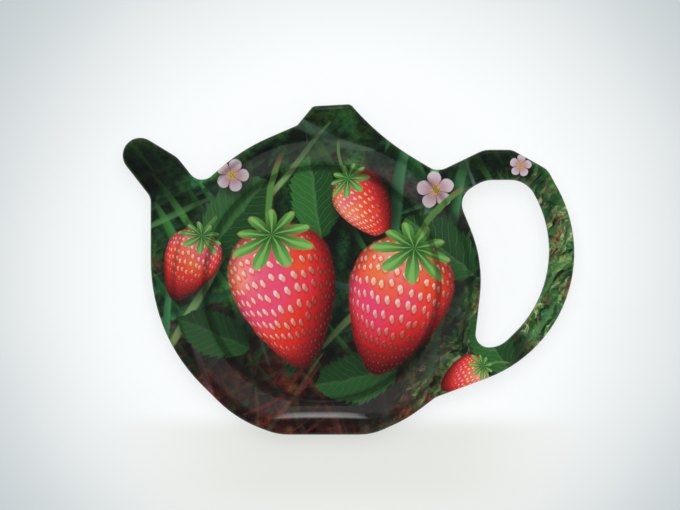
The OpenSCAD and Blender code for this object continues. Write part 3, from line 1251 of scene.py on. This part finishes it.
class FruitPrint(Effect):
    """The whole print: berries and blossoms among grass, drawn in plan."""

    name = "fruit_print"
    gives = {"Color": "Color"}
    far_off = 1000.0
    near_seed = 20
    seed_step = 13.7
    far = (
        Blades(28, 17, 90, 0.75, 0.95, 12, (0.004, 0.020, 0.010), (0.012, 0.070, 0.020)),
        Blades(-22, 12, 70, 0.60, 0.80, 16, (0.006, 0.045, 0.020), (0.030, 0.150, 0.035)),
        Blades(62, 11, 60, 0.40, 0.80, 14, (0.030, 0.022, 0.020), (0.090, 0.060, 0.055)),
        Blades(-58, 9, 50, 0.45, 0.60, 14, (0.006, 0.050, 0.030), (0.040, 0.200, 0.060)),
        Blades(8, 8.5, 64, 0.45, 0.45, 10, (0.010, 0.090, 0.025), (0.050, 0.300, 0.060)),
    )
    near = (
        Blades(34, 4.6, 26, 0.50, 0.35, 9, (0.010, 0.080, 0.018), (0.070, 0.330, 0.050), 0.8),
        Blades(-70, 4, 22, 0.45, 0.40, 9, (0.008, 0.060, 0.030), (0.090, 0.260, 0.070), 0.7),
        Blades(-12, 7, 58, 0.34, 0.30, 12, (0.014, 0.110, 0.045), (0.090, 0.340, 0.110)),
        Blades(74, 9, 66, 0.20, 0.30, 16, (0.030, 0.120, 0.080), (0.150, 0.330, 0.230), 0.7),
        Blades(-52, 3, 11, 0.40, 0.80, 18, (0.030, 0.008, 0.010), (0.200, 0.028, 0.036), 0, 0.7, True),
        Blades(24, 2.6, 9, 0.35, 0.80, 16, (0.040, 0.014, 0.010), (0.170, 0.050, 0.030), 0, 0.6, True),
        Blades(18, 6, 48, 0.16, 0.30, 12, (0.120, 0.240, 0.200), (0.330, 0.450, 0.400), 0.8),
        Blades(-40, 4.2, 40, 0.14, 0.35, 14, (0.040, 0.200, 0.050), (0.240, 0.420, 0.140)),
    )
    leaves = Motifs(
        StrawberryLeaf(),
        slim=1.7,
        shake=0.22,
        spots=(
            Spot(-30, 14, -38, 13, 0.45),
            Spot(24, 6, 50, 12, 0.55),
            Spot(-36, -17, 66, 10, 0.25),
            Spot(2, -29, 100, 11, 0.30),
            Spot(-9, 19, 8, 11, 0.60),
            Spot(38, -20, 30, 9, 0.50),
        ),
    )
    blossoms = Motifs(
        Blossom(),
        slim=1.0,
        shake=0.16,
        spots=(Spot(45.5, 27.5, 10, 3.1), Spot(-31, 25, 0, 4.6), Spot(23, 21, 24, 5.2)),
    )
    berries = Motifs(
        Strawberry(),
        slim=1.1,
        shake=0.06,
        spots=(
            Spot(-17, -5, 14, 17.5, 0.7),
            Spot(13, -8, -18, 17.0, 0.8),
            Spot(4, 18, 34, 9.0, 0.9),
            Spot(-42, 2, -24, 9.0, 0.7),
            Spot(31, -28, -62, 6.0, 0.4),
        ),
    )
    moss = (
        (0.30, (0.003, 0.006, 0.005)),
        (0.50, (0.006, 0.022, 0.010)),
        (0.62, (0.012, 0.050, 0.018)),
        (0.75, (0.022, 0.100, 0.030)),
    )
    earth = (
        (0.35, (0.006, 0.005, 0.005)),
        (0.50, (0.030, 0.012, 0.012)),
        (0.66, (0.150, 0.030, 0.036)),
    )
    flecks = (
        (0.00, (0.006, 0.012, 0.006)),
        (0.20, (0.020, 0.100, 0.024)),
        (0.38, (0.090, 0.250, 0.050)),
        (0.52, (0.045, 0.150, 0.060)),
        (0.66, (0.200, 0.170, 0.060)),
        (0.78, (0.180, 0.050, 0.035)),
        (0.90, (0.210, 0.420, 0.100)),
        (1.00, (0.400, 0.420, 0.190)),
    )
    dusk = (0.004, 0.006, 0.005)

    def wire(self, board: Board, given: Wires) -> dict[str, Wire]:
        """Lays the ground, the far blades, the near blades and the motifs.

        Args:
            board: The group's own board.
            given: The group's inputs.

        Returns:
            The wire for each output.
        """
        sheet = Sheet(board, given)
        self._ground(sheet)
        low, gloom = self._gloom(sheet)
        for seed, layer in enumerate(self.far):
            self._blades(sheet, layer, seed, gloom)
        self._mottle(sheet)
        right = (sheet.y * -0.55 + sheet.x).span(22.0, 42.0)
        self._undergrowth(sheet, right)
        thin = board.most(gloom, right * 0.6)
        for seed, layer in enumerate(self.near, self.near_seed):
            self._blades(sheet, layer, seed, low if layer.litter else thin)
        sheet.lay(gloom, (0.62, 0.46, 0.50), "MULTIPLY")
        sheet.lay(low, (1.55, 1.00, 1.05), "MULTIPLY")
        shake = board.drift(sheet.place, 0.22, 1.0, 2.0)
        for motifs in (self.leaves, self.blossoms, self.berries):
            self._motifs(sheet, motifs, shake)
        return {"Color": sheet.colour}

    @staticmethod
    def _gloom(sheet: Sheet) -> tuple[Wire, Wire]:
        """The dark place low down, and all dark places: it, spout, lid and handle's top.

        Args:
            sheet: The print so far.

        Returns:
            Two masks: the dark place low down, and all of them.
        """
        x, y = sheet.x, sheet.y
        low = y.span(-10.0, -31.0) * x.span(34.0, 12.0)
        top = x.span(22.0, 34.0) * y.span(19.0, 29.0) * x.span(50.0, 42.0)
        spout = x.span(-37.0, -47.0) * y.span(12.0, 22.0)
        lid = y.span(22.0, 34.0, 0.0, 0.75) * x.span(18.0, 6.0)
        return low, sheet.board.most(low, top, spout, lid)

    def _ground(self, sheet: Sheet) -> None:
        """Near-black green at the top and maroon-brown at the bottom, with soft clouds.

        Args:
            sheet: The print so far.
        """
        sheet.colour = sheet.board.ramp(sheet.noise(0.045, 2.0, 0.55), self.moss)
        earth = sheet.board.ramp(sheet.noise(0.07, 3.0, 0.6), self.earth)
        lower = sheet.noise(0.04, 1.0) * 26.0 + (sheet.y - 13.0)
        sheet.lay(lower.span(-8.0, -24.0), earth)

    @staticmethod
    def _mottle(sheet: Sheet) -> None:
        """Breaks the far blades up into small lights and darks.

        Args:
            sheet: The print so far.
        """
        tint = sheet.board.noise(sheet.place + (31.0, 7.0, 0.0), 0.16)[0].span(0.40, 0.64)
        sheet.lay(1.0, sheet.board.blend(tint, (0.75, 0.95, 0.95), (1.45, 1.15, 0.55)), "MULTIPLY")
        grain = sheet.noise(0.55, 4.0, 0.68).span(0.30, 0.72, 0.30, 1.75)
        sheet.colour = sheet.board.lit(sheet.colour, grain)

    def _undergrowth(self, sheet: Sheet, right: Wire) -> None:
        """Lays small mottled leaves and twigs on the right and over the handle.

        Args:
            sheet: The print so far.
            right: Where they grow.
        """
        board = sheet.board
        bent = sheet.place + board.drift(sheet.place, 0.11, 9.0, 3.0)
        flecks = board.cells(board.turned(bent, 0.6) * (1.0, 0.30, 1.0), 1.25)
        fleck = board.ramp(board.chance(flecks[2])[0], self.flecks)
        fleck = board.blend(flecks[0].span(0.30, 0.8, 0.0, 0.55), fleck, (0.006, 0.010, 0.006))
        grain = board.noise(bent, 0.9, 3.0, 0.7)[0]
        fleck = board.lit(fleck, grain.span(0.30, 0.70, 0.25, 1.8))
        patch = sheet.noise(0.09, 1.0).span(0.38, 0.56)
        sheet.lay(right * (patch * 0.40 + 0.50), fleck)

    def _blades(self, sheet: Sheet, layer: Blades, seed: int, gloom: Wire) -> None:
        """Lays one layer of blades.

        Args:
            sheet: The print so far.
            layer: The layer.
            seed: A number that no other layer has.
            gloom: Where the print is in the dark.
        """
        board = sheet.board
        made = board.place(
            GrassBlades(),
            Place=sheet.place,
            Turn=math.radians(-layer.turn),
            Pitch=layer.pitch,
            Reach=layer.reach,
            Amount=layer.amount,
            Blur=layer.blur,
            Sway=layer.sway,
            Seed=seed * self.seed_step,
        )
        tone = board.calc("ADD", made["Across"] * 0.22, made["Tone"], clamp=True)
        here = made["Mask"] * (gloom * (layer.in_gloom - layer.strength) + layer.strength)
        sheet.lay(here, board.blend(tone, layer.dark, layer.light))

    def _motifs(self, sheet: Sheet, motifs: Motifs, shake: Wire) -> None:
        """Lays one kind of motif, drawn once with the values of the nearest, and its shadow.

        Args:
            sheet: The print so far.
            motifs: The kind and its places.
            shake: A soft random vector.
        """
        board, least, shadow = sheet.board, self.far_off, self.far_off
        where, look = ORIGIN, EAST
        for one in motifs.spots:
            turn, unit = math.radians(-one.turn), 1 / one.size
            away = sheet.place - (one.x, one.y, 0.0)
            shape = (motifs.slim * unit, unit, 0.0)
            off = board.calc("LENGTH", board.turned(away, turn) * shape)
            closer = board.calc("LESS_THAN", off, least)
            least = board.calc("MINIMUM", off, least)
            where = board.choose(closer, where, (one.x, one.y, turn))
            look = board.choose(closer, look, (one.size, one.extra, 0.0))
            fall = (away + (-0.16 * one.size, 0.20 * one.size, 0.0)) * unit
            shadow = board.calc("MINIMUM", shadow, board.calc("LENGTH", fall))
        size, extra, _ = board.parts(look)
        made = board.place(
            motifs.kind,
            Place=sheet.place,
            Centre=where * IN_PLAN,
            Turn=board.calc("DOT_PRODUCT", where, UP),
            Size=size,
            Extra=extra,
            Shake=shake * motifs.shake,
        )
        sheet.lay(shadow.span(0.65, 1.35, 0.8, 0.0), self.dusk)
        sheet.lay(made["Mask"], made["Color"])


# Finishes


class MouldedGloss(Effect):
    """Faint unevenness of a moulded gloss: waves, wipe marks, fine scratches and dust."""

    name = "moulded_gloss"
    takes = {"Place": ORIGIN, "Plain": 0.3, "Spread": 0.1}
    gives = {"Roughness": "Float", "Height": "Float", "Dust": "Float"}

    def wire(self, board: Board, given: Wires) -> dict[str, Wire]:
        """Adds slow waves, wiped streaks, hairline scratches and specks.

        Args:
            board: The group's own board.
            given: The group's inputs.

        Returns:
            The wire for each output.
        """
        place = given["Place"]
        slow = board.noise(place, 0.05, 1.0)[0]
        wiped = board.noise(board.turned(place, 0.5) * (0.9, 0.08, 0.5), 1.0, 3.0)[0]
        fine = board.noise(place, 2.2, 2.0)[0]
        hairs = board.cells(board.turned(place, -0.8) * (1.0, 0.02, 1.0), 1.3)[0]
        hairs = hairs.span(0.05, 0.0) * board.noise(place, 0.12, 1.0)[0].span(0.55, 0.7)
        change = wiped * 0.7 + fine * 0.3 - 0.5
        return {
            "Roughness": change * given["Spread"] + given["Plain"] + hairs * 0.12,
            "Height": slow + fine * 0.02 - hairs * 0.015,
            "Dust": board.cells(place, 0.8)[0].span(0.055, 0.03),
        }


class WellEdges(Effect):
    """Where the well's wall begins and ends in plan: two lines of painted shade in its creases, at the
    foot and the lip, and the rim outside.
    """

    name = "well_edges"
    gives = {"Foot": "Float", "LipCreaseShade": "Float", "Rim": "Float"}
    sizes = RestSizes()

    def wire(self, board: Board, given: Wires) -> dict[str, Wire]:
        """Measures from the well's centre and from its straight side.

        Args:
            board: The group's own board.
            given: The group's inputs.

        Returns:
            The wire for each output.
        """
        x, y = (float(way) * MILLIMETRES for way in self.sizes.centre)
        away = (given["Place"] - (x, y, 0.0)) * IN_PLAN
        beyond = board.calc("LENGTH", away) - self.sizes.floor_across / 2 * MILLIMETRES
        within = (self.sizes.well_across - self.sizes.floor_across) / 2 * MILLIMETRES - beyond
        straight = board.plan(away)[1] + self.sizes.well_flat * MILLIMETRES
        within = board.calc("MINIMUM", within, straight)
        return {
            # The foot and lip masks place the painted shade in the well's creases.
            "Foot": beyond.span(-1.9, -0.7) * beyond.span(0.7, 0.1),
            "LipCreaseShade": within.span(-1.5, -0.3) * within.span(0.8, 0.1),
            "Rim": within.span(-0.1, -0.6),
        }


@dataclass(frozen=True)
class Finish:
    """A material made of nodes."""

    name: str

    def material(self) -> bpy.types.Material:
        """Makes the material.

        Returns:
            The material.
        """
        material = bpy.data.materials.new(self.name)
        material.use_nodes = True
        material.node_tree.nodes.clear()
        board = Board(material.node_tree)
        place = board.add("TexCoord", {})["Object"] * MILLIMETRES
        board.add("OutputMaterial", {"Surface": self.surface(board, place)})
        return material

    def surface(self, board: Board, place: Wire) -> Wire:
        """The shader, from the place on the piece in millimetres."""
        raise NotImplementedError


@dataclass(frozen=True)
class PrintedGloss(Finish):
    """The print as it shows through clear glaze."""

    name: str = "print_under_glaze"
    dust: Colour = (0.55, 0.55, 0.52)
    dusty: float = 0.10
    # crease_shade is painted shade: the near-black laid into the well's creases.
    crease_shade: Colour = (0.004, 0.005, 0.004)
    edge_coat: float = 0.15
    bend_coat: float = 0.05
    coat_rough: float = 0.055
    # foot and lip: how strongly the painted shade darkens the creases at the well's foot and lip.
    foot: float = 0.60
    lip: float = 0.42
    plain: float = 0.42
    spread: float = 0.12
    shine: float = 0.25
    wave: float = 0.00006
    wave_share: float = 0.6

    def surface(self, board: Board, place: Wire) -> Wire:
        """Lays the print, paints shade into the well's creases as two dark lines and takes gloss off
        the edges.

        Args:
            board: The material's board.
            place: Place on the piece in millimetres.

        Returns:
            The shader.
        """
        colour = board.place(FruitPrint(), Place=place)["Color"]
        gloss = board.place(MouldedGloss(), Place=place, Plain=self.plain, Spread=self.spread)
        colour = board.blend(gloss["Dust"] * self.dusty, colour, self.dust)
        edges = board.place(WellEdges(), Place=place)
        # Painted shade: the creases at the well's foot and lip are darkened in the colour.
        crease_shade = board.most(edges["Foot"] * self.foot, edges["LipCreaseShade"] * self.lip)
        height = board.parts(place)[2]
        below_top = height - WellEdges.sizes.top_level * MILLIMETRES
        over_floor = height - WellEdges.sizes.floor_level * MILLIMETRES
        edge = below_top.span(-0.003, -0.04) * edges["Rim"]
        bend = over_floor.span(0.004, 0.03) * over_floor.span(1.0, 0.65)
        coat = edge * (self.edge_coat - 1.0) + 1.0
        feeds = {
            "Base Color": board.blend(crease_shade, colour, self.crease_shade),
            "Roughness": gloss["Roughness"],
            "Specular IOR Level": self.shine,
            "Normal": board.bump(gloss["Height"], self.wave_share, self.wave),
            "Coat Weight": board.calc("ADD", bend * (self.bend_coat - 1.0), coat, clamp=True),
            "Coat Roughness": self.coat_rough,
        }
        return board.add("BsdfPrincipled", feeds)[0]


@dataclass(frozen=True)
class WhiteMelamine(Finish):
    """White moulded melamine, satin to gloss, with a faint cloud and fine unevenness."""

    name: str = "white_melamine"
    colour: Colour = (0.90, 0.90, 0.87)
    clouded: Colour = (0.84, 0.845, 0.82)
    dust: Colour = (0.42, 0.40, 0.36)
    dusty: float = 0.35
    plain: float = 0.30
    spread: float = 0.16
    wave: float = 0.00008
    wave_share: float = 0.7

    def surface(self, board: Board, place: Wire) -> Wire:
        """Clouds the white and lays a little dust on it.

        Args:
            board: The material's board.
            place: Place on the piece in millimetres.

        Returns:
            The shader.
        """
        gloss = board.place(MouldedGloss(), Place=place, Plain=self.plain, Spread=self.spread)
        cloud = board.noise(place, 0.06, 3.0, 0.6)[0].span(0.35, 0.75)
        colour = board.blend(cloud, self.colour, self.clouded)
        feeds = {
            "Base Color": board.blend(gloss["Dust"] * self.dusty, colour, self.dust),
            "Roughness": gloss["Roughness"],
            "Normal": board.bump(gloss["Height"], self.wave_share, self.wave),
        }
        return board.add("BsdfPrincipled", feeds)[0]


@dataclass(frozen=True)
class BareFoil(Finish):
    """The printed foil itself, where it lies under the glaze."""

    name: str = "printed_foil"
    plain: float = 0.55

    def surface(self, board: Board, place: Wire) -> Wire:
        """Lays the print on a satin sheet.

        Args:
            board: The material's board.
            place: Place on the piece in millimetres.

        Returns:
            The shader.
        """
        feeds = {
            "Base Color": board.place(FruitPrint(), Place=place)["Color"],
            "Roughness": board.place(MouldedGloss(), Place=place, Plain=self.plain)["Roughness"],
        }
        return board.add("BsdfPrincipled", feeds)[0]


@dataclass(frozen=True)
class PaleFloor(Finish):
    """The pale floor, with painted shade that greys it towards the corners and far off. It glows a
    little, so the shadow stays soft, and is clear from below.
    """

    name: str = "pale_floor"
    middle: Colour = (0.975, 0.990, 0.995)
    # corner and far are painted shade: the floor is greyer towards the corners and far off.
    corner: Colour = (0.55, 0.60, 0.62)
    far: Colour = (0.80, 0.83, 0.84)
    lower: Colour = (0.80, 0.81, 0.77)
    corner_shade_from: tuple[float, float] = (55.0, 128.0)
    far_shade_from: tuple[float, float] = (120.0, 210.0)
    lower_edge: float = -38.6
    rough: float = 0.9
    glow: float = 0.5
    clear: float = 0.4

    def surface(self, board: Board, place: Wire) -> Wire:
        """Paints shade on the floor, darker by distance towards the corners and far off, greyer below
        a line, and lets some soft light through from below.

        Args:
            board: The material's board.
            place: Place on the piece in millimetres.

        Returns:
            The shader.
        """
        x, y = board.plan(place)
        reach = board.noise(place, 0.02, 1.0)[0] * 8.0 + board.length(x * 0.95, y)
        # Painted shade: darker towards the corners and far off.
        colour = board.blend(reach.span(*self.corner_shade_from), self.middle, self.corner)
        colour = board.blend(reach.span(*self.far_shade_from), colour, self.far)
        lower = y.span(self.lower_edge + 1.5, self.lower_edge - 6.0)
        lower = lower * y.span(-75.0, -55.0, 0.35, 1.0) * abs(x).span(80.0, 20.0)
        colour = board.blend(lower, colour, self.lower)
        feeds = {"Base Color": colour, "Roughness": self.rough, "Specular IOR Level": 0.0}
        dull = board.add("BsdfPrincipled", feeds)[0]
        shine = board.add("Emission", {"Color": colour})[0]
        rays = board.add("LightPath", {})
        seen = board.add("MixShader", {0: rays["Is Camera Ray"] * self.glow, 1: dull, 2: shine})[0]
        through = board.most(rays["Is Diffuse Ray"], rays["Is Shadow Ray"]) * self.clear
        open_share = board.most(through, board.add("NewGeometry", {})["Backfacing"])
        nothing = board.add("BsdfTransparent", {})[0]
        return board.add("MixShader", {0: open_share, 1: seen, 2: nothing})[0]


def dress(piece: bpy.types.Object, finish: Finish) -> None:
    """Gives a piece one finish."""
    piece.data.materials.clear()
    piece.data.materials.append(finish.material())


# Pieces


@dataclass
class GlazedFace:
    """The printed face under its glaze: rim, outer edge, finger hole and well."""

    form: RestForm
    name: str = "glazed_face"

    def build(self) -> bpy.types.Object:
        """Makes the closed skin of glaze, with its print seen through it.

        Returns:
            The piece, dressed.
        """
        form, shell = self.form, ShellMesh()
        outer = form.lay_face(shell, 0.0, Facing.FRONT, form.large_map)
        inner = form.lay_face(shell, form.sizes.glaze, Facing.BACK, form.small_map)
        pot, hole = (replace(row.flat(), spots=back.spots) for row, back in zip(outer, inner))
        shell.bridge(pot, inner[0].flat(), Facing.BACK)
        shell.bridge(inner[1].flat(), hole, Facing.BACK)
        piece = shell.build(self.name, "OFBake")
        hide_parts("clear_glaze")
        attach(piece, "root")
        dress(piece, PrintedGloss())
        return piece


@dataclass
class MouldedTray:
    """The white tray: its hidden face, bare side, underside and foot ring."""

    form: RestForm
    name: str = "moulded_tray"
    side_chords: int = 4
    back_chords: int = 5
    foot_chords: int = 4

    def build(self) -> bpy.types.Object:
        """Makes the tray as one closed mesh.

        Returns:
            The piece, dressed.
        """
        form, sizes, shell = self.form, self.form.sizes, ShellMesh()
        ends = form.lay_face(shell, sizes.glaze + sizes.foil, Facing.FRONT, form.large_map)
        pot = self._side_rows(shell, form.pot, 1)
        hole = self._side_rows(shell, form.hole, -1)
        shell.bridge(pot[0].flat(), ends[0].flat())
        shell.bridge(ends[1].flat(), hole[0].flat())
        shell.stairs(pot[::-1])
        shell.stairs(hole)
        rows = [form.well.neck(share) for share in shares(self.back_chords)]
        rows += [form.well.heel(share) for share in shares(self.back_chords)]
        back = [shell.ring(p, n, p[:, :2]) for p, n in rows]
        shell.fill([pot[-1], hole[-1], back[0]], Facing.BACK)
        shell.stairs(back, Facing.BACK)
        foot = self._foot_rows(shell)
        shell.bridge(back[-1], foot[0].flat(), Facing.BACK)
        shell.stairs(foot, Facing.BACK)
        shell.fill([foot[-1]], Facing.BACK)
        piece = shell.build(self.name)
        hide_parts("tray_body")
        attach(piece, "root")
        dress(piece, WhiteMelamine())
        return piece

    def _side_rows(self, shell: ShellMesh, loop: RoundedLoop, side: int) -> list[Ring]:
        """Adds the rows down the bare side and round under the rim.

        Args:
            shell: The mesh to add them to.
            loop: The outline or the finger hole.
            side: 1 for the outline, -1 for the hole.

        Returns:
            The rows, from where the skin ends to the flat underside.
        """
        sizes, rows = self.form.sizes, []
        for j in range(-1, self.side_chords + 1):
            lean = math.pi / 2 * max(j, 0) / self.side_chords
            drawn = sizes.under * (1 - math.cos(lean))
            height = sizes.rim_level + sizes.under * (1 - math.sin(lean))
            if j < 0:
                height = sizes.wrap_level
            points = level(loop.drawn_in(side * drawn), height)
            normals = level(side * loop.normals * math.cos(lean), -math.sin(lean))
            rows.append(shell.ring(points, normals, points[:, :2]))
        return rows

    def _foot_rows(self, shell: ShellMesh) -> list[Ring]:
        """Adds the rows of the foot ring, from its outer root to its inner one.

        Args:
            shell: The mesh to add them to.

        Returns:
            The rows.
        """
        sizes, well = self.form.sizes, self.form.well
        outer = sizes.foot_across / 2
        inner, bevel = outer - sizes.foot_width, sizes.foot_round
        turns = [math.pi / 2 * share for share in shares(self.foot_chords)]
        steps = [(outer, sizes.foot_height, math.pi / 2)]
        for lean in (math.pi / 2 - turn for turn in turns):
            reach = outer - bevel * (1 - math.sin(lean))
            steps.append((reach, bevel * (1 - math.cos(lean)), lean))
        for lean in (-turn for turn in turns):
            reach = inner + bevel * (1 + math.sin(lean))
            steps.append((reach, bevel * (1 - math.cos(lean)), lean))
        steps.append((inner, sizes.foot_height, -math.pi / 2))
        rows = (well.circle(*step) for step in steps)
        return [shell.ring(p, n, p[:, :2]) for p, n in rows]


# Studio


@dataclass
class Studio:
    """The floor, the surroundings, the lamp and the camera."""

    form: RestForm
    camera_height: float = 0.75
    view_width: float = 0.1801
    view_shift: tuple[float, float] = (-0.00225, 0.00384)
    sensor: float = 36.0
    floor_across: float = 3.0
    floor_gap: float = 0.00005
    sky: Colour = (0.98, 1.0, 1.0)
    fill: float = 0.62
    horizon: float = 0.20
    far_side: float = 0.34
    zenith: float = 0.05
    strip: float = 5.4
    strip_aside: float = 0.0104
    lamp_elevation: float = 78.0
    lamp_distance: float = 1.6
    lamp_size: float = 1.4
    lamp_power: float = 12.2
    nearest: float = 0.01
    farthest: float = 20.0

    def build(self) -> None:
        """Makes all of it."""
        self._camera()
        self._floor()
        self._surroundings()
        self._lamp()
        bpy.context.scene.view_settings.view_transform = "Standard"

    def _camera(self) -> None:
        """Looks straight down at the face, as the photograph does."""
        low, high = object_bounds()
        middle = (low + high) / 2
        aside, ahead = self.view_shift
        lens = bpy.data.cameras.new("camera")
        distance = self.camera_height - self.form.sizes.top_level
        lens.sensor_width = self.sensor
        lens.lens = self.sensor * distance / self.view_width
        lens.clip_start, lens.clip_end = self.nearest, self.farthest
        camera = add_object("camera", lens)
        camera.location = (middle.x + aside, middle.y + ahead, self.camera_height)
        bpy.context.scene.camera = camera

    def _floor(self) -> None:
        """Lays a pale floor that keeps the shadow, with painted shade that greys it towards the
        corners.
        """
        half = self.floor_across / 2
        mesh = bpy.data.meshes.new("floor")
        ways = ((-1, -1), (1, -1), (1, 1), (-1, 1))
        corners = [(half * x, half * y, -self.floor_gap) for x, y in ways]
        mesh.from_pydata(corners, [], [(0, 1, 2, 3)])
        floor = add_object("floor", mesh)
        floor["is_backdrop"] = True
        dress(floor, PaleFloor())

    def _surroundings(self) -> None:
        """Bright low down and dark overhead in reflections, plain for soft light."""
        world = bpy.data.worlds.new("surroundings")
        bpy.context.scene.world = world
        world.use_nodes = True
        world.node_tree.nodes.clear()
        board = Board(world.node_tree)
        x, y, z = board.parts(board.add("TexCoord", {})["Generated"])
        low = y * y * self.far_side + self.horizon
        seen = z.span(0.40, 0.75) * (self.zenith - low) + low
        strip = abs(x / board.most(y, 0.05) + self.strip_aside).span(0.130, 0.040)
        strip = strip * y.span(0.10, 0.25) * z.span(0.985, 0.88) * z.span(0.50, 0.88)
        seen = strip * self.strip + seen
        rays = board.add("LightPath", {})
        plain = board.most(rays["Is Camera Ray"], self.fill)
        strength = rays["Is Glossy Ray"] * (seen - plain) + plain
        glow = board.add("Background", {"Color": self.sky, "Strength": strength})[0]
        board.add("OutputWorld", {"Surface": glow})

    def _lamp(self) -> None:
        """Sets up a soft lamp, turned towards the rest, out of sight and of reflections."""
        light = bpy.data.lights.new("overhead", "AREA")
        light.shape = "RECTANGLE"
        light.size = light.size_y = self.lamp_size
        light.energy = self.lamp_power
        lamp = add_object("overhead", light)
        up = math.radians(self.lamp_elevation)
        away = Vector((0.0, math.cos(up), math.sin(up)))
        lamp.location = away * self.lamp_distance
        lamp.rotation_euler = away.to_track_quat("Z", "Y").to_euler()
        lamp.visible_camera = lamp.visible_glossy = False


def main() -> None:
    """Builds the rest and its studio in order, and reports each piece."""
    logging.basicConfig(level=logging.INFO, format="%(message)s")
    form = RestForm()
    for part in (MouldedTray(form), GlazedFace(form)):
        piece = part.build()
        log.info("%s: %d faces", piece.name, len(piece.data.polygons))
    dress(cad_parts["decor_foil"], BareFoil())
    Studio(form).build()


if __name__ == "__main__":
    main()
